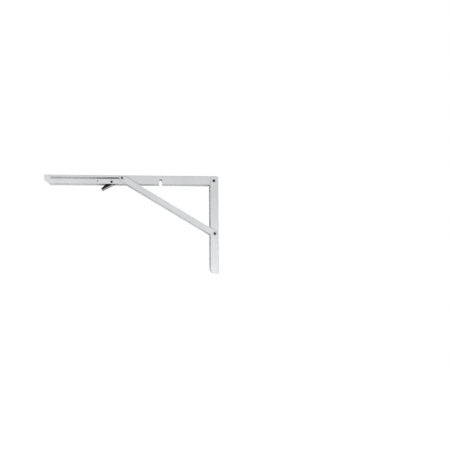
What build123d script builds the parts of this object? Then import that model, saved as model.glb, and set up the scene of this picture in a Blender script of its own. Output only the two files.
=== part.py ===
from build123d import *
import os
from math import atan2, degrees, sqrt

# Folding shelf bracket of the 300 mm class, in millimetres.
# X = 0 is the wall, the shelf arm runs along -X, Y is across the width and +Z is up.
# The origin is the middle of the wall screws, on the back face of the wall plate.

# ---- Driving dimensions ---------------------------------------------------------------

# Shelf arm: a channel of folded sheet, web up, open underneath.
ARM_REACH = 297.0            # wall to the tip of the arm
ARM_WIDTH = 24.0             # over its two flanges
ARM_DEPTH = 15.0             # shelf face to the lower edge of a flange
ARM_SHEET = 1.5
ARM_TIP_CUT = 7.0            # cut across the tip's lower corner, along the arm
ARM_TIP_CUT_RISE = 5.5       # and up the tip
ARM_TIP_ROUNDING = 3.0       # of the cut's own two corners
ARM_BEND_RADIUS = 0.6        # inside the bends

# Wall plate: a wider channel, web on the wall, open towards the room.
SHELF_FACE_HEIGHT = 95.0     # above the middle of the wall screws
PLATE_TOP_DROP = 1.7         # shelf face to the top of the plate
PLATE_FOOT_DROP = 75.0       # middle of the wall screws to the foot of the plate
PLATE_DEPTH = 14.0           # wall to the free edge of a flange
PLATE_SHEET = 1.5
PLATE_BEND_RADIUS = 0.6
PLATE_TOP_RADIUS = 6.5       # rounding of the upper free corner
PLATE_FOOT_RADIUS = 9.0      # rounding of the lower free corner
PLATE_SIDE_PLAY = 0.5        # between a plate flange and the arm's flange inside it

# Arm pivot, in the upper end of the wall plate.
ARM_PIVOT_OFF_WALL = 8.0
ARM_PIVOT_DROP = 8.7         # shelf face to the pivot
ARM_HEEL_PLAY = 0.2          # between the arm's rounded heel and the plate's web

# Strut: two flat bars outside the wall plate and the arm.
STRUT_WIDTH = 9.4
STRUT_SHEET = 2.0
STRUT_SIDE_PLAY = 0.3        # between a bar and the wall plate's flange
STRUT_FOOT_OFF_WALL = 7.0
STRUT_FOOT_DROP = 92.0       # arm pivot down to the strut's foot

# Slot in both flanges of the arm, and the pin that slides in it.
SLOT_DROP = 5.3              # shelf face to the middle of the slot
SLOT_WIDTH = 3.6
SLIDE_PIN_RADIUS = 1.7
SLIDE_PIN_BORE_RADIUS = 1.25
PIN_REACH = 158.0            # arm pivot to the slide pin, arm level
WASHER_RADIUS = 3.3
WASHER_PLAY = 0.15           # each side of a washer

# Notch that lets the arm close over the strut's foot.
NOTCH_WIDTH = 5.2
NOTCH_TOP_DROP = 5.9         # shelf face to the top of the notch

# Tubular rivets.
RIVET_RADIUS = 2.2
RIVET_BORE_RADIUS = 1.7
RIVET_HEAD_RADIUS = 3.5
RIVET_HEAD_HEIGHT = 1.0
RIVET_RIM_CUT = 0.55         # slope round the outside of a head
RIVET_MOUTH_CUT = 0.4        # slope round the mouth of the bore
RUNNING_FIT = 0.05           # radial, between a rivet and a piece that turns on it
HEAD_PLAY = 0.1              # between a rivet head and a piece that turns under it

# Release lever, on a small pin across the arm.
LEVER_PIVOT_OUT = 17.9       # slide pin to the lever's pivot, towards the tip
LEVER_PIVOT_DROP = 11.8      # shelf face to the lever's pivot
LEVER_SIDE_PLAY = 0.4
LEVER_WINDOW_WIDTH = 8.8     # opening between the lever's two cheeks
LEVER_HUB_HEIGHT = 3.4       # of the cheeks, above the pivot
LEVER_PIN_RADIUS = 1.9
LEVER_PIN_BORE_RADIUS = 1.45
LEVER_PIN_HEAD_RADIUS = 2.9
LEVER_PIN_HEAD_HEIGHT = 0.6
TAIL_ROOT = (-9.8, -3.6)     # from the lever's pivot: where the finger tail leaves the arm
TAIL_KNEE = (-17.0, -10.8)
TAIL_TIP = (-17.9, -14.2)
TAIL_HEEL = (0.4, -4.3)
TAIL_ROUNDING = 0.9
NOSE_START = 5.2             # pivot to the nose bar
NOSE_END = 8.5
NOSE_HEEL_HEIGHT = 1.5       # of the nose's lower corner, above the pivot
NOSE_TOP_HEIGHT = 3.9        # above the pivot

# Lock spring: one bent strip that the slide pin stops against.
SPRING_SHEET = 0.5
SPRING_WIDTH = 7.0
SPRING_ANCHOR_OUT = 23.9     # lever pivot to the anchor pin, towards the tip
SPRING_ANCHOR_RAISE = 1.1    # anchor pin above the lever's pivot
ANCHOR_PIN_RADIUS = 1.0
ANCHOR_PIN_RECESS = 0.8      # flange's outer face to the end of the pin
SPRING_HOOK_TURN = 200.0     # degrees that the strip wraps round the anchor pin
CATCH_GAP = 0.15             # catch to slide pin
CATCH_LENGTH = 5.2           # ramp, along the arm
CATCH_RETURN = 3.0           # height of the catch's stop face
CATCH_BEND_RADIUS = 0.5

# Screw holes.
WALL_HOLE_RADIUS = 2.75
WALL_OUTER_SPACING = 120.0
WALL_INNER_SPACING = 60.0
SHELF_HOLE_RADIUS = 2.5
SHELF_HOLE_OFF_WALL = 40.0   # wall to the nearest shelf screw
SHELF_HOLE_OFF_TIP = 27.0    # tip to the farthest shelf screw
SHELF_INNER_SPACING = 110.0

# ---- Places that follow from them -----------------------------------------------------

arm_half = ARM_WIDTH / 2
plate_inner_half = arm_half + PLATE_SIDE_PLAY
plate_outer_half = plate_inner_half + PLATE_SHEET
strut_inner_half = plate_outer_half + STRUT_SIDE_PLAY
strut_outer_half = strut_inner_half + STRUT_SHEET

shelf_face = SHELF_FACE_HEIGHT
plate_top = shelf_face - PLATE_TOP_DROP
arm_pivot = Vector(-ARM_PIVOT_OFF_WALL, shelf_face - ARM_PIVOT_DROP)
strut_foot = Vector(-STRUT_FOOT_OFF_WALL, arm_pivot.Y - STRUT_FOOT_DROP)
slide_pin = Vector(arm_pivot.X - PIN_REACH, shelf_face - SLOT_DROP)
lever_pivot = Vector(slide_pin.X - LEVER_PIVOT_OUT, shelf_face - LEVER_PIVOT_DROP)

# The strut's length comes from the level arm. Hanging, the arm puts the slot this far
# in front of the strut's foot, and the pin as far along the arm as the strut reaches.
strut_length = (slide_pin - strut_foot).length
hung_slot_offset = ARM_PIVOT_OFF_WALL + ARM_PIVOT_DROP - SLOT_DROP - STRUT_FOOT_OFF_WALL
hung_pin_reach = STRUT_FOOT_DROP + sqrt(strut_length ** 2 - hung_slot_offset ** 2)
slot_travel = hung_pin_reach - PIN_REACH

shelf_outer_spacing = ARM_REACH - SHELF_HOLE_OFF_TIP - SHELF_HOLE_OFF_WALL
shelf_holes_middle = SHELF_HOLE_OFF_WALL + shelf_outer_spacing / 2

heel_radius = ARM_PIVOT_OFF_WALL - PLATE_SHEET - ARM_HEEL_PLAY
arm_heel = arm_pivot.X + heel_radius


# ---- Helpers --------------------------------------------------------------------------

def across(side_view, half_width):
    """Give a side-view sketch its width, the same distance either way."""
    return extrude(Plane.XZ * side_view, amount=half_width, both=True)


def cross_cylinder(place, radius, near, far):
    """A cylinder that lies across the width, between two distances from the middle."""
    middle = (near + far) / 2
    return Pos(place.X, middle, place.Y) * Rot(90, 0, 0) * Cylinder(radius, far - near)


def channel_section(width, depth, sheet, bend_radius):
    """A U of folded sheet: its web's outer face on the X axis, its open side up."""
    outside = Pos(0, depth / 2) * Rectangle(width, depth)
    web_corners = outside.vertices().group_by(Axis.Y)[0]
    outside = fillet(web_corners, bend_radius + sheet)
    hollow = Pos(0, (depth + sheet) / 2) * Rectangle(width - 2 * sheet, depth - sheet)
    hollow_corners = hollow.vertices().group_by(Axis.Y)[0]
    return outside - fillet(hollow_corners, bend_radius)


def rivet_profile(bore_radius, shank_radius, grip, head_radius, head_height):
    """Half of a tubular rivet's section: its axis is Y, its middle is at the origin."""
    crown = grip + head_height
    return make_face(Polyline(
        (bore_radius, 0), (shank_radius, 0), (shank_radius, grip), (head_radius, grip),
        (head_radius, crown - RIVET_RIM_CUT), (head_radius - RIVET_RIM_CUT, crown),
        (bore_radius + RIVET_MOUTH_CUT, crown), (bore_radius, crown - RIVET_MOUTH_CUT),
        close=True))


def tubular_rivet(place, grip):
    """A tube with a rolled head at each end, across the bracket."""
    half = rivet_profile(RIVET_BORE_RADIUS, RIVET_RADIUS, grip,
                         RIVET_HEAD_RADIUS, RIVET_HEAD_HEIGHT)
    whole = revolve(half + mirror(half, Plane.XZ), Axis.Y)
    return Pos(place.X, 0, place.Y) * whole


def front_and_back(solid):
    """The same piece on the front (-Y) and on the back (+Y)."""
    return {"front": mirror(solid, Plane.XZ), "back": solid}


# ---- Wall plate -----------------------------------------------------------------------

def make_wall_plate():
    section = channel_section(2 * plate_outer_half, PLATE_DEPTH, PLATE_SHEET,
                              PLATE_BEND_RADIUS)
    height = plate_top + PLATE_FOOT_DROP
    channel = extrude(Rot(0, 0, 90) * section, amount=height)
    channel = Pos(0, 0, -PLATE_FOOT_DROP) * channel

    outline = Pos(-PLATE_DEPTH / 2, plate_top - height / 2) * Rectangle(PLATE_DEPTH, height)
    free_corners = outline.vertices().group_by(Axis.X)[0].sort_by(Axis.Y)
    outline = fillet(free_corners[0], PLATE_FOOT_RADIUS)
    top_corner = outline.vertices().group_by(Axis.Y)[-1].sort_by(Axis.X)[0]
    outline = fillet(top_corner, PLATE_TOP_RADIUS)
    plate = channel & across(outline, plate_outer_half)

    for pivot in (arm_pivot, strut_foot):
        plate -= cross_cylinder(pivot, RIVET_RADIUS, -plate_outer_half, plate_outer_half)
    for spacing in (WALL_OUTER_SPACING, WALL_INNER_SPACING):
        for side in (-1, 1):
            screw = Rot(0, 90, 0) * Cylinder(WALL_HOLE_RADIUS, 3 * PLATE_SHEET)
            plate -= Pos(-PLATE_SHEET / 2, 0, side * spacing / 2) * screw
    return plate


# ---- Shelf arm ------------------------------------------------------------------------

def arm_side_view():
    """The arm from the side: square behind its pivot above, round about it below."""
    lower_edge = shelf_face - ARM_DEPTH
    blade = make_face(Polyline(
        (arm_heel, shelf_face), (-ARM_REACH, shelf_face),
        (-ARM_REACH, lower_edge + ARM_TIP_CUT_RISE), (-ARM_REACH + ARM_TIP_CUT, lower_edge),
        (arm_pivot.X, lower_edge), (arm_pivot.X, arm_pivot.Y), (arm_heel, arm_pivot.Y),
        close=True))
    cut_start = blade.vertices().group_by(Axis.X)[0].sort_by(Axis.Y)[0]
    cut_end = blade.vertices().group_by(Axis.Y)[0].sort_by(Axis.X)[0]
    blade = fillet([cut_start, cut_end], ARM_TIP_ROUNDING)
    return blade + Pos(arm_pivot.X, arm_pivot.Y) * Circle(heel_radius)


def make_shelf_arm():
    section = channel_section(ARM_WIDTH, ARM_DEPTH, ARM_SHEET, ARM_BEND_RADIUS)
    length = ARM_REACH + arm_heel
    channel = extrude(Plane.YZ * Rot(0, 0, 180) * section, amount=length)
    channel = Pos(-ARM_REACH, 0, shelf_face) * channel
    arm = channel & across(arm_side_view(), arm_half)

    arm -= cross_cylinder(arm_pivot, RIVET_RADIUS + RUNNING_FIT, -arm_half, arm_half)
    arm -= cross_cylinder(lever_pivot, LEVER_PIN_RADIUS, -arm_half, arm_half)
    arm -= cross_cylinder(anchor_pin_place(), ANCHOR_PIN_RADIUS, -arm_half, arm_half)

    slot = SlotCenterToCenter(slot_travel, SLOT_WIDTH)
    slot_middle = slide_pin.X - slot_travel / 2
    arm -= across(Pos(slot_middle, slide_pin.Y) * slot, arm_half)

    notch_radius = NOTCH_WIDTH / 2
    notch_centre = shelf_face - NOTCH_TOP_DROP - notch_radius
    notch_x = arm_pivot.X - STRUT_FOOT_DROP
    notch = Pos(notch_x, notch_centre) * Circle(notch_radius)
    notch += Pos(notch_x, notch_centre - ARM_DEPTH / 2) * Rectangle(NOTCH_WIDTH, ARM_DEPTH)
    arm -= across(notch, arm_half)

    for spacing in (shelf_outer_spacing, SHELF_INNER_SPACING):
        for side in (-1, 1):
            hole_x = -shelf_holes_middle + side * spacing / 2
            arm -= Pos(hole_x, 0, shelf_face) * Cylinder(SHELF_HOLE_RADIUS, 3 * ARM_SHEET)
    return arm


# ---- Strut ----------------------------------------------------------------------------

def make_strut_bar():
    """The back bar. Its foot turns on a rivet and its head holds the slide pin's end."""
    middle = (slide_pin + strut_foot) / 2
    slope = degrees(atan2(slide_pin.Y - strut_foot.Y, slide_pin.X - strut_foot.X))
    outline = SlotCenterToCenter(strut_length, STRUT_WIDTH)
    outline = Pos(middle.X, middle.Y) * Rot(0, 0, slope) * outline
    outline -= Pos(strut_foot.X, strut_foot.Y) * Circle(RIVET_RADIUS + RUNNING_FIT)
    outline -= Pos(slide_pin.X, slide_pin.Y) * Circle(SLIDE_PIN_RADIUS)
    bar = extrude(Plane.XZ * outline, amount=-STRUT_SHEET)
    return Pos(0, strut_inner_half, 0) * bar


# ---- Slide pin ------------------------------------------------------------------------

def make_slide_pin():
    tube = Circle(SLIDE_PIN_RADIUS) - Circle(SLIDE_PIN_BORE_RADIUS)
    return across(Pos(slide_pin.X, slide_pin.Y) * tube, strut_inner_half - WASHER_PLAY / 2)


def make_slide_pin_head():
    """The back end of the slide pin: the stretch inside the bar, and its rolled head."""
    section = rivet_profile(SLIDE_PIN_BORE_RADIUS, SLIDE_PIN_RADIUS, STRUT_SHEET,
                            RIVET_HEAD_RADIUS, RIVET_HEAD_HEIGHT)
    return Pos(slide_pin.X, strut_inner_half, slide_pin.Y) * revolve(section, Axis.Y)


def make_slide_pin_washer():
    near = arm_half + WASHER_PLAY
    far = strut_inner_half - WASHER_PLAY
    washer = cross_cylinder(slide_pin, WASHER_RADIUS, near, far)
    return washer - cross_cylinder(slide_pin, SLIDE_PIN_RADIUS, near, far)


# ---- Release lever and lock spring ----------------------------------------------------

def anchor_pin_place():
    return lever_pivot + Vector(-SPRING_ANCHOR_OUT, SPRING_ANCHOR_RAISE)


def spring_underside():
    """Height of the strip's lower face above the lever's pivot: it lies on the anchor."""
    return SPRING_ANCHOR_RAISE + ANCHOR_PIN_RADIUS


def make_release_lever():
    """Two cheeks on the pivot, joined by the finger tail below and the nose bar above."""
    outline = FilletPolyline(
        TAIL_ROOT, TAIL_KNEE, TAIL_TIP, TAIL_HEEL, (NOSE_END, NOSE_HEEL_HEIGHT),
        (NOSE_END, NOSE_TOP_HEIGHT), (NOSE_START, NOSE_TOP_HEIGHT),
        (-LEVER_PIN_RADIUS, LEVER_HUB_HEIGHT), radius=TAIL_ROUNDING, close=True)
    at_pivot = Pos(lever_pivot.X, lever_pivot.Y)
    half_width = arm_half - ARM_SHEET - LEVER_SIDE_PLAY
    lever = across(at_pivot * make_face(outline), half_width)

    # The window is open above, apart from the nose bar, and at both ends.
    floor = TAIL_ROOT[1]
    bar_underside = spring_underside() + SPRING_SHEET + CATCH_GAP
    window_length = 4 * NOSE_END
    tall = Pos(NOSE_START - window_length / 2, floor + ARM_DEPTH / 2)
    low = Pos(NOSE_START, (floor + bar_underside) / 2)
    window = tall * Rectangle(window_length, ARM_DEPTH)
    window += low * Rectangle(window_length, bar_underside - floor)
    lever -= across(at_pivot * window, LEVER_WINDOW_WIDTH / 2)
    turning_hole = LEVER_PIN_RADIUS + RUNNING_FIT
    return lever - cross_cylinder(lever_pivot, turning_hole, -half_width, half_width)


def make_lever_pivot_pin():
    pin = cross_cylinder(lever_pivot, LEVER_PIN_RADIUS, -arm_half, arm_half)
    for side in (-1, 1):
        face = side * arm_half
        crown = side * (arm_half + LEVER_PIN_HEAD_HEIGHT)
        near, far = min(face, crown), max(face, crown)
        head = cross_cylinder(lever_pivot, LEVER_PIN_HEAD_RADIUS, near, far)
        rim = head.edges().filter_by(GeomType.CIRCLE).sort_by(Axis.Y)[-1 if side > 0 else 0]
        pin += chamfer(rim, LEVER_PIN_HEAD_HEIGHT / 2)
    bore_half = arm_half + LEVER_PIN_HEAD_HEIGHT
    return pin - cross_cylinder(lever_pivot, LEVER_PIN_BORE_RADIUS, -bore_half, bore_half)


def make_spring_anchor_pin():
    half_length = arm_half - ANCHOR_PIN_RECESS
    return cross_cylinder(anchor_pin_place(), ANCHOR_PIN_RADIUS, -half_length, half_length)


def make_lock_spring():
    """A strip hooked round the anchor pin, flat over the lever, ending in a ramped catch."""
    half_sheet = SPRING_SHEET / 2
    hook_centre = anchor_pin_place()
    flat_height = hook_centre.Y + ANCHOR_PIN_RADIUS + half_sheet
    stop_x = slide_pin.X - SLIDE_PIN_RADIUS - CATCH_GAP - half_sheet
    crest = slide_pin.Y - half_sheet
    hook = CenterArc((hook_centre.X, hook_centre.Y), ANCHOR_PIN_RADIUS + half_sheet,
                     90, SPRING_HOOK_TURN)
    blade = FilletPolyline(
        (hook_centre.X, flat_height), (stop_x - CATCH_LENGTH, flat_height),
        (stop_x, crest), (stop_x, crest - CATCH_RETURN), radius=CATCH_BEND_RADIUS)
    strip = trace(hook + blade, line_width=SPRING_SHEET)
    return across(strip, SPRING_WIDTH / 2)


# ---- Every piece, one file each -------------------------------------------------------

def make_pieces():
    pieces = {
        "wall_plate": make_wall_plate(),
        "shelf_arm": make_shelf_arm(),
        "arm_pivot_rivet": tubular_rivet(arm_pivot, plate_outer_half),
        "strut_foot_rivet": tubular_rivet(strut_foot, strut_outer_half + HEAD_PLAY),
        "slide_pin": make_slide_pin(),
        "release_lever": make_release_lever(),
        "lever_pivot_pin": make_lever_pivot_pin(),
        "spring_anchor_pin": make_spring_anchor_pin(),
        "lock_spring": make_lock_spring(),
    }
    pairs = {
        "strut_bar": make_strut_bar(),
        "slide_pin_head": make_slide_pin_head(),
        "slide_pin_washer": make_slide_pin_washer(),
    }
    for name, solid in pairs.items():
        for side, placed in front_and_back(solid).items():
            pieces[f"{name}_{side}"] = placed
    return pieces


os.makedirs("parts", exist_ok=True)
for node, shape in make_pieces().items():
    export_step(shape, f"parts/{node}.step")
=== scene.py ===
import bmesh
import bpy
from math import atan2, ceil, cos, hypot, pi, radians, sin, tan
from mathutils import Matrix, Vector


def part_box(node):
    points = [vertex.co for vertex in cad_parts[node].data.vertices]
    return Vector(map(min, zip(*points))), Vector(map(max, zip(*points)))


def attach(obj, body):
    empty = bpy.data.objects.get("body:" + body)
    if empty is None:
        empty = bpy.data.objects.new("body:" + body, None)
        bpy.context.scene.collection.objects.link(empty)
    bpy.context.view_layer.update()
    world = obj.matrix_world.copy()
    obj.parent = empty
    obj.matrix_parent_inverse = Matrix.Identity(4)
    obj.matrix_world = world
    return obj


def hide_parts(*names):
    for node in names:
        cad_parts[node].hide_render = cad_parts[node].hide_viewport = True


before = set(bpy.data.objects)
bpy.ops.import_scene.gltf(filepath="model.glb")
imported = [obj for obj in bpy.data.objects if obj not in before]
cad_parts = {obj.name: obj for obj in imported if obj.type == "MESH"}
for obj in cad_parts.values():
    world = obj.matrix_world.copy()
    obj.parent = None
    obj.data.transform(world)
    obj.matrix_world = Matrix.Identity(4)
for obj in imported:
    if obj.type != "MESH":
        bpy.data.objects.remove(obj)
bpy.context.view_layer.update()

# Lengths are in millimetres up to the floor and the light. A finished mesh is scaled to
# metres once.
MM = 0.001

# ---- Sizes of the sheet work ---------------------------------------------------------
ARM_SHEET = 1.5
PLATE_SHEET = 1.5
BEND_RADIUS = 0.6            # inside the bends of both channels
ARM_TIP_CUT = 7.0            # along the arm
ARM_TIP_CUT_RISE = 5.5       # up the tip
ARM_TIP_ROUNDING = 3.0
PLATE_TOP_RADIUS = 6.5
PLATE_FOOT_RADIUS = 9.0
SLOT_WIDTH = 3.6             # of the slot that the slide pin runs in
NOTCH_WIDTH = 5.2
NOTCH_TOP_DROP = 5.9         # arm's face to the top of the notch

# ---- Easing of the edges: width, and steps across it ---------------------------------
SHEET_EDGE = (0.16, 2)       # a sheared edge under its paint
STRUT_EDGE = (0.25, 3)       # a strut bar's blanked edge
LEVER_EDGE = (0.2, 3)        # a moulded edge

# ---- Screw holes ---------------------------------------------------------------------
WALL_HOLE_RADIUS = 2.75
WALL_HOLE_PLACES = (-60, -30, 30, 60)            # up the plate
SHELF_HOLE_RADIUS = 2.5
SHELF_HOLE_PLACES = (-270, -210, -100, -40)      # along the arm

# ---- Rivets and pins -----------------------------------------------------------------
RIVET_RADIUS = 2.2
RIVET_BORE = 1.7
RIVET_HEAD_HEIGHT = 1.0
SLIDE_PIN_RADIUS = 1.7
SLIDE_PIN_BORE = 1.25
WASHER_EDGE = 0.25
LEVER_PIN_RADIUS = 1.9
LEVER_PIN_BORE = 1.45
LEVER_PIN_HEAD_HEIGHT = 0.6
LEVER_PIN_RIM = 0.35         # rounding across the flange's rim
LEVER_PIN_RIM_BASE = 0.35    # share of the head's height below that rounding
LEVER_PIN_LIP = 0.15         # rounding at the bore's lip
ANCHOR_PIN_RADIUS = 1.0
RUNNING_FIT = 0.05

# ---- A rolled head -------------------------------------------------------------------
MOUTH_FLARE = 0.35           # how much larger the mouth's radius is than the bore's
DARK_EDGE = 0.05             # how far inside the mouth the bore's painted shade stops
CROWN_PLACE = 0.45           # share of the way from the mouth to the rim
# The rest are shares of the head's rise, from the face that it grips to its crown.
RIM_UNDERCUT = 0.12          # how far inside the rim its underside starts
RIM_HEIGHT = 0.25            # where the rounding of the rim starts
MOUTH_DIP = 0.3              # how far the crown falls towards the mouth
MOUTH_FLOOR = 0.1            # where the flare meets the bore

# ---- Release lever, from its pivot ---------------------------------------------------
TAIL_ROOT = (-9.8, -3.6)
TAIL_KNEE = (-17.0, -10.8)
TAIL_TIP = (-17.9, -14.2)
TAIL_HEEL = (0.4, -4.3)
NOSE_START = 5.2
NOSE_END = 8.5
NOSE_HEEL_HEIGHT = 1.5
NOSE_TOP_HEIGHT = 3.9
NOSE_BAR_UNDERSIDE = 2.75
CHEEK_TOP = (-1.9, 3.4)
LEVER_ROUNDING = 0.9
LEVER_WINDOW_WIDTH = 8.8     # between the cheeks

# ---- Modelling -----------------------------------------------------------------------
ARC_STEP = radians(7.5)
TURNED_STEPS = 64
MARGIN = 1.0                 # how far a cutting shape passes a face that it spares
SCREW_REACH = 5.0            # how far a screw hole's tool goes each side of its web
WELD = 0.002                 # points closer than this become one
TURNED_WELD = 0.0005
SAME_PLANE = radians(0.2)    # faces that turn by less than this become one
EASED_TURN = radians(35)     # edges that turn by more than this are eased
SHARP_TURN = radians(32)     # edges that turn by more than this look sharp


# ---- Places, from the frame ----------------------------------------------------------

def box_mm(node):
    """A node's lowest and highest corners, in millimetres."""
    low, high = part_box(node)
    return Vector(low) / MM, Vector(high) / MM


def middle(node):
    """A node's middle as seen from the side: along the arm, and up."""
    low, high = box_mm(node)
    return Vector(((low.x + high.x) / 2, (low.z + high.z) / 2))


arm_low, arm_high = box_mm("shelf_arm")
plate_low, plate_high = box_mm("wall_plate")
bar_low, bar_high = box_mm("strut_bar_back")
arm_pivot = middle("arm_pivot_rivet")
strut_foot = middle("strut_foot_rivet")
slide_pin = middle("slide_pin")
lever_pivot = middle("lever_pivot_pin")
anchor_pin = middle("spring_anchor_pin")


# ---- Outlines ------------------------------------------------------------------------

def arc(centre, radius, start, turn):
    """Points along an arc, ends included. Angles are in radians."""
    steps = max(2, ceil(abs(turn) / ARC_STEP))
    angles = [start + turn * i / steps for i in range(steps + 1)]
    return [(centre[0] + radius * cos(a), centre[1] + radius * sin(a)) for a in angles]


def rounded(corners, radii):
    """A closed outline, each corner rounded to its own radius. 0 leaves it sharp."""
    outline = []
    for i, corner in enumerate(corners):
        here = Vector(corner)
        back = (Vector(corners[i - 1]) - here).normalized()
        ahead = (Vector(corners[(i + 1) % len(corners)]) - here).normalized()
        if not radii[i]:
            outline.append(tuple(here))
            continue
        half = back.angle(ahead) / 2
        centre = here + (back + ahead).normalized() * radii[i] / sin(half)
        first = here + back * radii[i] / tan(half) - centre
        last = here + ahead * radii[i] / tan(half) - centre
        start = atan2(first.y, first.x)
        turn = (atan2(last.y, last.x) - start + pi) % (2 * pi) - pi
        outline += arc(centre, radii[i], start, turn)
    return outline


def circle(centre, radius):
    return arc(centre, radius, 0, 2 * pi)[:-1]


def stadium(start, end, radius):
    """Two half circles joined by straight sides."""
    along = atan2(end[1] - start[1], end[0] - start[0])
    return arc(end, radius, along - pi / 2, pi) + arc(start, radius, along + pi / 2, pi)


def channel_section(width, depth, sheet):
    """A U of folded sheet: the outside of its web lies on the first axis."""
    half, inner = width / 2, width / 2 - sheet
    corners = [(-half, 0), (half, 0), (half, depth), (inner, depth),
               (inner, sheet), (-inner, sheet), (-inner, depth), (-half, depth)]
    outer = BEND_RADIUS + sheet
    return rounded(corners, [outer, outer, 0, 0, BEND_RADIUS, BEND_RADIUS, 0, 0])


# ---- Solids --------------------------------------------------------------------------

def new_object(name, data):
    item = bpy.data.objects.new(name, data)
    bpy.context.collection.objects.link(item)
    return item


def object_from(shape, name):
    """A new object from a bmesh, which is used up."""
    mesh = bpy.data.meshes.new(name)
    shape.to_mesh(mesh)
    shape.free()
    return new_object(name, mesh)


def prism(name, outline, place, low, high):
    """An outline given its thickness. place turns (u, v, depth) into (x, y, z)."""
    shape = bmesh.new()
    near = [shape.verts.new(place(u, v, low)) for u, v in outline]
    far = [shape.verts.new(place(u, v, high)) for u, v in outline]
    shape.faces.new(near)
    shape.faces.new(far)
    for i in range(len(outline)):
        j = (i + 1) % len(outline)
        shape.faces.new((near[i], near[j], far[j], far[i]))
    bmesh.ops.recalc_face_normals(shape, faces=shape.faces)
    return object_from(shape, name)


def side_view(u, v, depth):
    return (u, depth, v)


def end_view(u, v, depth):
    return (depth, u, v)


def top_view(u, v, depth):
    return (u, v, depth)


def cross_prism(name, outline, half):
    """A side outline given its thickness across the bracket, the same on both sides."""
    return prism(name, outline, side_view, -half, half)


def settle(piece):
    """Turn a piece's modifiers into plain mesh."""
    graph = bpy.context.evaluated_depsgraph_get()
    mesh = bpy.data.meshes.new_from_object(piece.evaluated_get(graph))
    piece.modifiers.clear()
    piece.data = mesh


def cut(piece, operation, tools):
    """Keep what each tool shares with the piece, or take each tool away from it."""
    for tool in tools:
        step = piece.modifiers.new(operation, "BOOLEAN")
        step.operation = operation
        step.solver = "EXACT"
        step.object = tool
        settle(piece)
        bpy.data.objects.remove(tool)


def finish_piece(piece, edge, material, slot, body, *nodes):
    """Ease the edges, scale to metres, and put the piece in the frame."""
    shape = bmesh.new()
    shape.from_mesh(piece.data)
    bmesh.ops.remove_doubles(shape, verts=shape.verts, dist=WELD)
    bmesh.ops.dissolve_limit(shape, angle_limit=SAME_PLANE, verts=shape.verts,
                             edges=shape.edges)
    shape.to_mesh(piece.data)
    shape.free()
    ease = piece.modifiers.new("eased edges", "BEVEL")
    ease.width, ease.segments = edge
    ease.limit_method = "ANGLE"
    ease.angle_limit = EASED_TURN
    ease.miter_outer = "MITER_ARC"
    settle(piece)
    piece.data.transform(Matrix.Scale(MM, 4))
    shade(piece)
    piece.modifiers.new("flat faces stay flat", "WEIGHTED_NORMAL").keep_sharp = True
    settle(piece)
    dress(piece, material, slot, body, *nodes)


def shade(piece):
    """Smooth shading, apart from edges that turn by more than a bend's step."""
    piece.data.shade_smooth()
    piece.data.set_sharp_from_angle(angle=SHARP_TURN)


def dress(piece, material, slot, body, *nodes):
    """One material, the CAD nodes that a piece stands for, and the body it rides."""
    piece.data.materials.clear()
    piece.data.materials.append(material)
    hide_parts(*nodes)
    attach(piece, body)


# ---- Shader groups -------------------------------------------------------------------

FINE_RATIO = 4.0             # the fine grain's scale, against the peel's


def new_group(name, inputs, outputs):
    """An empty shader group with named float inputs and named outputs."""
    group = bpy.data.node_groups.new(name, "ShaderNodeTree")
    new_socket = group.interface.new_socket
    for label, value in inputs.items():
        socket = new_socket(label, in_out="INPUT", socket_type="NodeSocketFloat")
        socket.default_value = value
    for label in outputs:
        new_socket(label, in_out="OUTPUT", socket_type="NodeSocketFloat")
    given = group.nodes.new("NodeGroupInput")
    put = group.nodes.new("NodeGroupOutput")
    return group, given, put


def noise(tree, coordinates, detail, roughness=0.5):
    node = tree.nodes.new("ShaderNodeTexNoise")
    node.inputs["Detail"].default_value = detail
    node.inputs["Roughness"].default_value = roughness
    tree.links.new(coordinates, node.inputs["Vector"])
    return node


def math_node(tree, operation, first, second):
    """A Math node. Each input is a socket or a number."""
    node = tree.nodes.new("ShaderNodeMath")
    node.operation = operation
    for socket, value in zip(node.inputs, (first, second)):
        if isinstance(value, bpy.types.NodeSocket):
            tree.links.new(value, socket)
        else:
            socket.default_value = value
    return node.outputs[0]


def make_surface_grain():
    """Orange peel and a slow mottle, as sprayed and moulded surfaces have."""
    group, given, put = new_group(
        "surface grain",
        {"Peel Scale": 600.0, "Mottle Scale": 30.0, "Fine Share": 0.35},
        ("Height", "Mottle"))
    place = group.nodes.new("ShaderNodeTexCoord").outputs["Object"]
    peel = noise(group, place, detail=2.0)
    group.links.new(given.outputs["Peel Scale"], peel.inputs["Scale"])
    fine = noise(group, place, detail=3.0)
    fine_scale = math_node(group, "MULTIPLY", given.outputs["Peel Scale"], FINE_RATIO)
    group.links.new(fine_scale, fine.inputs["Scale"])
    fine_part = math_node(group, "MULTIPLY", fine.outputs["Fac"],
                          given.outputs["Fine Share"])
    height = math_node(group, "ADD", peel.outputs["Fac"], fine_part)
    group.links.new(height, put.inputs["Height"])
    mottle = noise(group, place, detail=3.0)
    group.links.new(given.outputs["Mottle Scale"], mottle.inputs["Scale"])
    group.links.new(mottle.outputs["Fac"], put.inputs["Mottle"])
    return group


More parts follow.
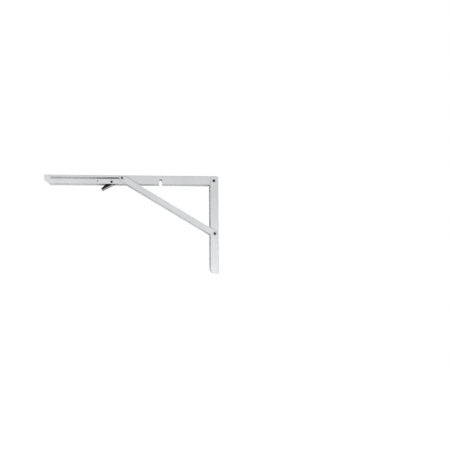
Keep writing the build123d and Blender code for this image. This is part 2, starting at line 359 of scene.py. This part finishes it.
def make_drawn_lines():
    """Fine lines along one direction, as rolled strip and turned pins have."""
    group, given, put = new_group(
        "drawn lines", {"Line Scale": 900.0, "Stretch": 0.04}, ("Height", "Streak"))
    place = group.nodes.new("ShaderNodeTexCoord").outputs["Object"]
    split = group.nodes.new("ShaderNodeSeparateXYZ")
    group.links.new(place, split.inputs[0])
    join = group.nodes.new("ShaderNodeCombineXYZ")
    along = math_node(group, "MULTIPLY", split.outputs["X"], given.outputs["Stretch"])
    group.links.new(along, join.inputs["X"])
    group.links.new(split.outputs["Y"], join.inputs["Y"])
    group.links.new(split.outputs["Z"], join.inputs["Z"])
    lines = noise(group, join.outputs[0], detail=4.0, roughness=0.6)
    group.links.new(given.outputs["Line Scale"], lines.inputs["Scale"])
    group.links.new(lines.outputs["Fac"], put.inputs["Height"])
    group.links.new(lines.outputs["Fac"], put.inputs["Streak"])
    return group


surface_grain = make_surface_grain()
drawn_lines = make_drawn_lines()


# ---- Materials -----------------------------------------------------------------------

NOISE_LOW, NOISE_HIGH = 0.3, 0.7     # the range that most of a noise falls in


def finish_material(name, group, group_values, variation, colours, roughness, depth,
                    plain):
    """A Principled finish whose colour, roughness and bump follow one of the groups.

    variation is the group's output that the colour and roughness follow, and depth is
    the bump's. What is the same all over the surface is in plain.
    """
    material = bpy.data.materials.new(name)
    material.use_nodes = True
    tree = material.node_tree
    shader = tree.nodes["Principled BSDF"]
    pattern = tree.nodes.new("ShaderNodeGroup")
    pattern.node_tree = group
    for label, value in group_values.items():
        pattern.inputs[label].default_value = value

    colour = tree.nodes.new("ShaderNodeValToRGB")
    stops = zip(colour.color_ramp.elements, (NOISE_LOW, NOISE_HIGH), colours)
    for element, position, value in stops:
        element.position = position
        element.color = (*value, 1)
    tree.links.new(pattern.outputs[variation], colour.inputs["Fac"])
    tree.links.new(colour.outputs["Color"], shader.inputs["Base Color"])

    gloss = tree.nodes.new("ShaderNodeMapRange")
    gloss.inputs["To Min"].default_value = roughness[0]
    gloss.inputs["To Max"].default_value = roughness[1]
    tree.links.new(pattern.outputs[variation], gloss.inputs["Value"])
    tree.links.new(gloss.outputs["Result"], shader.inputs["Roughness"])

    bump = tree.nodes.new("ShaderNodeBump")
    bump.inputs["Strength"].default_value = 1.0
    bump.inputs["Distance"].default_value = depth * MM
    tree.links.new(pattern.outputs["Height"], bump.inputs["Height"])
    tree.links.new(bump.outputs["Normal"], shader.inputs["Normal"])
    for label, value in plain.items():
        shader.inputs[label].default_value = value
    return material


powder_paint = finish_material(
    "pale powder paint", surface_grain,
    {"Peel Scale": 650.0, "Mottle Scale": 22.0, "Fine Share": 0.3}, "Mottle",
    colours=((0.695, 0.71, 0.725), (0.745, 0.76, 0.77)),
    roughness=(0.38, 0.48), depth=0.010,
    plain={"Specular IOR Level": 0.45})
dull_zinc = finish_material(
    "dull zinc", surface_grain,
    {"Peel Scale": 1500.0, "Mottle Scale": 160.0, "Fine Share": 0.5}, "Mottle",
    colours=((0.47, 0.485, 0.50), (0.57, 0.585, 0.60)),
    roughness=(0.40, 0.54), depth=0.008,
    plain={"Metallic": 0.25, "Specular IOR Level": 0.3})
# Painted shade: near-black for the anchor pin, so its recess reads as shaded; the drawn
# lines are its own texture.
pin_dark_as_shade = finish_material(
    "pin dark as painted shade", drawn_lines,
    {"Line Scale": 1500.0, "Stretch": 1.0}, "Streak",
    colours=((0.025, 0.025, 0.027), (0.06, 0.06, 0.062)),
    roughness=(0.40, 0.60), depth=0.006,
    plain={"Metallic": 0.6})
# Painted shade: near-black for the walls and flared mouths of the bores, so the holes
# read as shaded.
painted_bore_shade = finish_material(
    "painted bore shade", surface_grain,
    {"Peel Scale": 1500.0, "Mottle Scale": 200.0, "Fine Share": 0.5}, "Mottle",
    colours=((0.010, 0.010, 0.011), (0.028, 0.027, 0.026)),
    roughness=(0.65, 0.85), depth=0.010,
    plain={"Specular IOR Level": 0.1})
spring_strip = finish_material(
    "rolled spring strip", drawn_lines,
    {"Line Scale": 1100.0, "Stretch": 0.03}, "Streak",
    colours=((0.50, 0.51, 0.52), (0.66, 0.67, 0.68)),
    roughness=(0.24, 0.40), depth=0.006,
    plain={"Metallic": 0.9})
black_moulding = finish_material(
    "black moulding", surface_grain,
    {"Peel Scale": 1100.0, "Mottle Scale": 60.0, "Fine Share": 0.6}, "Mottle",
    colours=((0.004, 0.004, 0.005), (0.009, 0.009, 0.010)),
    roughness=(0.14, 0.24), depth=0.010,
    plain={"Specular IOR Level": 0.12})


# ---- Wall plate ----------------------------------------------------------------------

def make_wall_plate():
    """A channel folded from sheet, cut to its side outline and then drilled."""
    width = plate_high.y - plate_low.y
    depth = plate_high.x - plate_low.x
    section = [(-v, u) for u, v in channel_section(width, depth, PLATE_SHEET)]
    plate = prism("wall_plate_folded", section, top_view, plate_low.z, plate_high.z)
    corners = [(plate_low.x, plate_low.z), (MARGIN, plate_low.z),
               (MARGIN, plate_high.z), (plate_low.x, plate_high.z)]
    outline = rounded(corners, [PLATE_FOOT_RADIUS, 0, 0, PLATE_TOP_RADIUS])
    cut(plate, "INTERSECT", [cross_prism("outline", outline, width)])
    tools = [cross_prism("pivot", circle(at, RIVET_RADIUS), width)
             for at in (arm_pivot, strut_foot)]
    tools += [prism("screw", circle((0, z), WALL_HOLE_RADIUS), end_view,
                    -SCREW_REACH, SCREW_REACH) for z in WALL_HOLE_PLACES]
    cut(plate, "DIFFERENCE", tools)
    finish_piece(plate, SHEET_EDGE, powder_paint, "painted_steel", "wall_plate",
                 "wall_plate")


# ---- Shelf arm -----------------------------------------------------------------------

def make_shelf_arm():
    """A channel open downwards, with the pin's slots, the notches and the holes."""
    width = arm_high.y - arm_low.y
    depth = arm_high.z - arm_low.z
    section = [(u, arm_high.z - v) for u, v in channel_section(width, depth, ARM_SHEET)]
    arm = prism("shelf_arm_folded", section, end_view, arm_low.x, arm_high.x)

    top = arm_high.z + MARGIN
    heel_radius = arm_high.x - arm_pivot.x
    outline = rounded(
        [(arm_low.x, top), (arm_low.x, arm_low.z + ARM_TIP_CUT_RISE),
         (arm_low.x + ARM_TIP_CUT, arm_low.z), (arm_pivot.x, arm_low.z)],
        [0, ARM_TIP_ROUNDING, ARM_TIP_ROUNDING, 0])
    outline += arc(arm_pivot, heel_radius, -pi / 2, pi / 2)[1:]
    outline.append((arm_high.x, top))
    cut(arm, "INTERSECT", [cross_prism("outline", outline, width)])

    slot_end = (arm_low.x + tip_to_slot(), slide_pin.y)
    notch_x = arm_pivot.x - (arm_pivot.y - strut_foot.y)
    notch_top = arm_high.z - NOTCH_TOP_DROP - NOTCH_WIDTH / 2
    shapes = [
        stadium(slot_end, slide_pin, SLOT_WIDTH / 2),
        stadium((notch_x, arm_low.z - NOTCH_WIDTH), (notch_x, notch_top),
                NOTCH_WIDTH / 2),
        circle(arm_pivot, RIVET_RADIUS + RUNNING_FIT),
        circle(lever_pivot, LEVER_PIN_RADIUS),
        circle(anchor_pin, ANCHOR_PIN_RADIUS),
    ]
    tools = [cross_prism("cut", shape, width) for shape in shapes]
    tools += [prism("screw", circle((x, 0), SHELF_HOLE_RADIUS), top_view,
                    arm_high.z - SCREW_REACH, arm_high.z + SCREW_REACH)
              for x in SHELF_HOLE_PLACES]
    cut(arm, "DIFFERENCE", tools)
    finish_piece(arm, SHEET_EDGE, powder_paint, "painted_steel", "shelf_arm",
                 "shelf_arm")


def tip_to_slot():
    """Arm's tip to the slot's far centre, where the pin is with the arm hanging."""
    reach = (slide_pin - strut_foot).length
    hung_pin_x = arm_pivot.x - (slide_pin.y - arm_pivot.y)
    sideways = strut_foot.x - hung_pin_x
    pin_reach = (arm_pivot.y - strut_foot.y) + (reach ** 2 - sideways ** 2) ** 0.5
    return arm_pivot.x - pin_reach - arm_low.x


# ---- Strut bars ----------------------------------------------------------------------

def make_strut_bar(side, low, high):
    """A flat bar with round ends, from the strut's foot to the slide pin."""
    radius = bar_high.x - strut_foot.x
    bar = prism(f"strut_bar_{side}_eased", stadium(strut_foot, slide_pin, radius),
                side_view, low, high)
    holes = [circle(strut_foot, RIVET_RADIUS + RUNNING_FIT),
             circle(slide_pin, SLIDE_PIN_RADIUS)]
    cut(bar, "DIFFERENCE", [prism("hole", hole, side_view, low - MARGIN, high + MARGIN)
                            for hole in holes])
    finish_piece(bar, STRUT_EDGE, powder_paint, "painted_steel", "strut",
                 f"strut_bar_{side}")


# ---- Release lever -------------------------------------------------------------------

def make_release_lever():
    """Two cheeks, a tail to press, and a bar across the nose that lifts the lock."""
    half = box_mm("release_lever")[1].y
    corners = [TAIL_ROOT, TAIL_KNEE, TAIL_TIP, TAIL_HEEL, (NOSE_END, NOSE_HEEL_HEIGHT),
               (NOSE_END, NOSE_TOP_HEIGHT), (NOSE_START, NOSE_TOP_HEIGHT), CHEEK_TOP]
    outline = rounded(corners, [LEVER_ROUNDING] * len(corners))
    outline = [(lever_pivot.x + u, lever_pivot.y + v) for u, v in outline]
    lever = cross_prism("release_lever_moulded", outline, half)

    # The window runs well out of the lever on three sides. It leaves the cheeks with a
    # floor between them, and the bar across the nose.
    nose = lever_pivot.x + NOSE_START
    left, right = nose - 4 * NOSE_END, nose + 2 * NOSE_END
    floor, roof = lever_pivot.y + TAIL_ROOT[1], lever_pivot.y + 4 * NOSE_TOP_HEIGHT
    bar = lever_pivot.y + NOSE_BAR_UNDERSIDE
    window = [(left, floor), (right, floor), (right, bar), (nose, bar), (nose, roof),
              (left, roof)]
    hole = circle(lever_pivot, LEVER_PIN_RADIUS + RUNNING_FIT)
    cut(lever, "DIFFERENCE", [cross_prism("window", window, LEVER_WINDOW_WIDTH / 2),
                              cross_prism("hole", hole, 2 * half)])
    finish_piece(lever, LEVER_EDGE, black_moulding, "black_plastic", "release_lever",
                 "release_lever")


# ---- Turned pieces: rivets, pins and washers -----------------------------------------

def make_turning_tree():
    """Spins a profile about the width: radius across, height along Y."""
    tree = bpy.data.node_groups.new("turned piece", "GeometryNodeTree")
    new_socket = tree.interface.new_socket
    for label, kind in (("Geometry", "NodeSocketGeometry"), ("Steps", "NodeSocketInt"),
                        ("Path Radius", "NodeSocketFloat"),
                        ("Place", "NodeSocketVector"),
                        ("Finish", "NodeSocketMaterial")):
        new_socket(label, in_out="INPUT", socket_type=kind)
    new_socket("Geometry", in_out="OUTPUT", socket_type="NodeSocketGeometry")
    given = tree.nodes.new("NodeGroupInput")
    put = tree.nodes.new("NodeGroupOutput")
    profile = tree.nodes.new("GeometryNodeMeshToCurve")
    path = tree.nodes.new("GeometryNodeCurvePrimitiveCircle")
    level = tree.nodes.new("GeometryNodeSetCurveNormal")
    level.mode = "Z_UP"
    spin = tree.nodes.new("GeometryNodeCurveToMesh")
    turn = tree.nodes.new("GeometryNodeTransform")
    turn.inputs["Rotation"].default_value = (pi / 2, 0, 0)
    realize = tree.nodes.new("GeometryNodeRealizeInstances")
    paint = tree.nodes.new("GeometryNodeSetMaterial")
    link = tree.links.new
    link(given.outputs["Geometry"], profile.inputs["Mesh"])
    link(given.outputs["Steps"], path.inputs["Resolution"])
    link(given.outputs["Path Radius"], path.inputs["Radius"])
    link(path.outputs["Curve"], level.inputs["Curve"])
    link(level.outputs["Curve"], spin.inputs["Curve"])
    link(profile.outputs["Curve"], spin.inputs["Profile Curve"])
    link(spin.outputs["Mesh"], turn.inputs["Geometry"])
    link(given.outputs["Place"], turn.inputs["Translation"])
    link(turn.outputs["Geometry"], realize.inputs["Geometry"])
    link(realize.outputs["Geometry"], paint.inputs["Geometry"])
    link(given.outputs["Finish"], paint.inputs["Material"])
    link(paint.outputs["Geometry"], put.inputs["Geometry"])
    return tree


turned_piece = make_turning_tree()
PATH_RADIUS = 1.0            # any radius: the profile is drawn from it


def spin(name, profile, place, material):
    """A closed profile of (radius, height) points, turned round an axis along Y."""
    shape = bmesh.new()
    points = [shape.verts.new((radius - PATH_RADIUS, height, 0))
              for radius, height in profile]
    for i, point in enumerate(points):
        shape.edges.new((point, points[(i + 1) % len(points)]))
    piece = object_from(shape, name)
    step = piece.modifiers.new("turned", "NODES")
    step.node_group = turned_piece
    values = {"Steps": TURNED_STEPS, "Path Radius": PATH_RADIUS,
              "Place": (place.x, 0, place.y), "Finish": material}
    for socket in turned_piece.interface.items_tree:
        if socket.in_out == "INPUT" and socket.name in values:
            step[socket.identifier] = values[socket.name]
    settle(piece)
    shape = bmesh.new()
    shape.from_mesh(piece.data)
    bmesh.ops.remove_doubles(shape, verts=shape.verts, dist=TURNED_WELD)
    bmesh.ops.recalc_face_normals(shape, faces=shape.faces)
    shape.to_mesh(piece.data)
    shape.free()
    return piece


def turn_piece(name, profile, place, body, node, bore=0):
    """A zinc piece. The wall of its bore and the flare of its mouth, where it has one,
    are painted near-black as painted shade.
    """
    piece = spin(name, profile, place, dull_zinc)
    piece.data.transform(Matrix.Scale(MM, 4))
    shade(piece)
    dress(piece, dull_zinc, "rivet_steel", body, node)
    # The bore's wall and the mouth's flare get the painted shade.
    piece.data.materials.append(painted_bore_shade)
    dark_radius = (bore + MOUTH_FLARE - DARK_EDGE) * MM
    for face in piece.data.polygons:
        off_axis = hypot(face.center.x - place.x * MM, face.center.z - place.y * MM)
        face.material_index = int(off_axis < dark_radius)


def side_radius(node):
    """Half of a node's size along the arm: the radius of its largest round."""
    low, high = box_mm(node)
    return (high.x - low.x) / 2


def quarter(inwards=False):
    """A unit quarter circle: from a rim up to its crown, or inwards from the crown."""
    return arc((0, 0), 1, pi / 2 if inwards else 0, pi / 2)


def both_ends(back):
    """A closed profile from its back half: the front half mirrors it."""
    return back + [(radius, -height) for radius, height in reversed(back)]


def rolled_head(bore, shank, face, crown, head):
    """The profile of a rolled rivet head, from the shank round to the bore's mouth."""
    mouth = bore + MOUTH_FLARE
    top = mouth + CROWN_PLACE * (head - mouth)
    rise = crown - face
    points = [(shank, face), (head - RIM_UNDERCUT * rise, face)]
    points += [(top + (head - top) * x,
                face + rise * (RIM_HEIGHT + (1 - RIM_HEIGHT) * y))
               for x, y in quarter()]
    points += [(top + (top - mouth) * x, crown - MOUTH_DIP * rise * (1 - y))
               for x, y in quarter(inwards=True)[1:]]
    points.append((bore, face + MOUTH_FLOOR * rise))
    return points


def make_rivet(node, grip, place):
    """A tube through the wall plate, rolled out over what it grips at each end."""
    crown = box_mm(node)[1].y
    back = rolled_head(RIVET_BORE, RIVET_RADIUS, grip, crown, side_radius(node))
    turn_piece(f"{node}_rolled", both_ends(back), place, "wall_plate", node, RIVET_BORE)


def make_slide_pin_head(side):
    """The slide pin's end, which goes through a strut bar and is rolled out over it."""
    node = f"slide_pin_head_{side}"
    low, high = box_mm(node)
    inner, outer = sorted((abs(low.y), abs(high.y)))
    profile = [(SLIDE_PIN_BORE, inner), (SLIDE_PIN_RADIUS, inner)]
    profile += rolled_head(SLIDE_PIN_BORE, SLIDE_PIN_RADIUS, outer - RIVET_HEAD_HEIGHT,
                           outer, side_radius(node))
    sign = 1 if side == "back" else -1
    profile = [(radius, sign * height) for radius, height in profile]
    turn_piece(f"{node}_rolled", profile, slide_pin, "strut", node, SLIDE_PIN_BORE)


def make_slide_pin():
    """The shank between the bars."""
    half = box_mm("slide_pin")[1].y
    tube = both_ends([(SLIDE_PIN_RADIUS, half), (SLIDE_PIN_BORE, half)])
    turn_piece("slide_pin_tube", tube, slide_pin, "slide_pin", "slide_pin",
               SLIDE_PIN_BORE)


def make_washer(side):
    """Keeps a strut bar off the arm."""
    node = f"slide_pin_washer_{side}"
    low, high = box_mm(node)
    radius = side_radius(node)
    corners = [(SLIDE_PIN_RADIUS, low.y), (radius, low.y), (radius, high.y),
               (SLIDE_PIN_RADIUS, high.y)]
    ring = rounded(corners, [0, WASHER_EDGE, WASHER_EDGE, 0])
    turn_piece(f"{node}_turned", ring, slide_pin, "slide_pin", node)


def make_lever_pin():
    """A tube with a low domed flange rolled out at each end."""
    head = side_radius("lever_pivot_pin")
    crown = box_mm("lever_pivot_pin")[1].y
    face = crown - LEVER_PIN_HEAD_HEIGHT
    rim_base = LEVER_PIN_HEAD_HEIGHT * LEVER_PIN_RIM_BASE
    back = [(LEVER_PIN_RADIUS, face), (head, face)]
    back += [(head - LEVER_PIN_RIM * (1 - x),
              face + rim_base + (LEVER_PIN_HEAD_HEIGHT - rim_base) * y)
             for x, y in quarter()]
    back += [(LEVER_PIN_BORE + LEVER_PIN_LIP * (2 + x), crown - LEVER_PIN_LIP * (1 - y))
             for x, y in quarter(inwards=True)]
    back.append((LEVER_PIN_BORE, face))
    turn_piece("lever_pivot_pin_rolled", both_ends(back), lever_pivot, "shelf_arm",
               "lever_pivot_pin", LEVER_PIN_BORE)


make_wall_plate()
make_shelf_arm()
make_strut_bar("back", bar_low.y, bar_high.y)
make_strut_bar("front", -bar_high.y, -bar_low.y)
make_release_lever()
make_rivet("arm_pivot_rivet", plate_high.y, arm_pivot)
make_rivet("strut_foot_rivet", box_mm("strut_foot_rivet")[1].y - RIVET_HEAD_HEIGHT,
           strut_foot)
make_slide_pin_head("front")
make_slide_pin_head("back")
make_slide_pin()
make_washer("front")
make_washer("back")
make_lever_pin()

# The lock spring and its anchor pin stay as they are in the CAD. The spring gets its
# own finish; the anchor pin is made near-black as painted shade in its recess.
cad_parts["lock_spring"].material_slots[0].material = spring_strip
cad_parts["spring_anchor_pin"].material_slots[0].material = pin_dark_as_shade


# ---- Floor, light and camera ---------------------------------------------------------

# Places are in metres, angles in degrees.
FLOOR_HEIGHT = -1.4
FLOOR_HALF = 6.0
FLOOR_COLOUR = (0.9, 0.9, 0.9, 1)
FLOOR_GLOW = 0.65            # lifts the floor to white where it is seen directly
WHITE = (1, 1, 1, 1)
AMBIENT = 0.54               # the room's light on the object

LENS = 46.257                # millimetres
SIDE_SHIFT = 0.03            # share of the picture's width
CAMERA_PLACE = (-0.1099, -1.0077, -0.0569)
CAMERA_YAW = -5.601
CAMERA_RISE = 3.792
CAMERA_ROLL = -0.292


def make_floor():
    shape = bmesh.new()
    corners = [(-FLOOR_HALF, -FLOOR_HALF), (FLOOR_HALF, -FLOOR_HALF),
               (FLOOR_HALF, FLOOR_HALF), (-FLOOR_HALF, FLOOR_HALF)]
    shape.faces.new([shape.verts.new((x, y, FLOOR_HEIGHT)) for x, y in corners])
    floor = object_from(shape, "floor")
    material = bpy.data.materials.new("plain pale floor")
    material.use_nodes = True
    tree = material.node_tree
    shader = tree.nodes["Principled BSDF"]
    shader.inputs["Base Color"].default_value = FLOOR_COLOUR
    shader.inputs["Roughness"].default_value = 0.9
    shader.inputs["Emission Color"].default_value = WHITE
    lift = math_node(tree, "MULTIPLY", seen_directly(tree), FLOOR_GLOW)
    tree.links.new(lift, shader.inputs["Emission Strength"])
    floor.data.materials.append(material)


def seen_directly(tree):
    """1 for camera, glossy and transmission rays, 0 for the light on the object."""
    path = tree.nodes.new("ShaderNodeLightPath")
    mirrored = math_node(tree, "MAXIMUM", path.outputs["Is Camera Ray"],
                         path.outputs["Is Glossy Ray"])
    return math_node(tree, "MAXIMUM", mirrored, path.outputs["Is Transmission Ray"])


def make_world():
    """White where it is seen directly, and dimmer as the light on the object."""
    world = bpy.data.worlds.new("pale room")
    bpy.context.scene.world = world
    world.use_nodes = True
    tree = world.node_tree
    background = tree.nodes["Background"]
    background.inputs["Color"].default_value = WHITE
    share = math_node(tree, "MULTIPLY", seen_directly(tree), 1 - AMBIENT)
    strength = math_node(tree, "ADD", share, AMBIENT)
    tree.links.new(strength, background.inputs["Strength"])


def make_lamp(name, place, target, size, watts):
    lamp = bpy.data.lights.new(name, "AREA")
    lamp.shape = "DISK"
    lamp.size = size
    lamp.energy = watts
    holder = new_object(name, lamp)
    holder.location = place
    direction = Vector(target) - Vector(place)
    holder.rotation_euler = direction.to_track_quat("-Z", "Y").to_euler()
    holder.visible_camera = False


def make_camera():
    """A studio view from a little below the arm, turned and tilted up only slightly."""
    lens = bpy.data.cameras.new("camera")
    lens.lens = LENS
    lens.shift_x = SIDE_SHIFT
    camera = new_object("camera", lens)
    yaw = Matrix.Rotation(radians(CAMERA_YAW), 4, "Z")
    pitch = Matrix.Rotation(radians(90 + CAMERA_RISE), 4, "X")
    roll = Matrix.Rotation(radians(CAMERA_ROLL), 4, "Z")
    camera.matrix_world = Matrix.Translation(CAMERA_PLACE) @ yaw @ pitch @ roll
    bpy.context.scene.camera = camera


make_floor()
make_world()
make_lamp("right key", place=(0.20, -1.10, -0.20), target=(-0.12, 0, 0.02),
          size=0.4, watts=2.4)
make_lamp("left fill", place=(-0.45, -0.40, 0.03), target=(-0.26, 0, 0.07),
          size=0.3, watts=0.45)
make_lamp("foot light", place=(0.02, -0.16, -0.12), target=(-0.01, 0, -0.05),
          size=0.08, watts=0.065)
make_camera()
bpy.context.scene.view_settings.view_transform = "Standard"
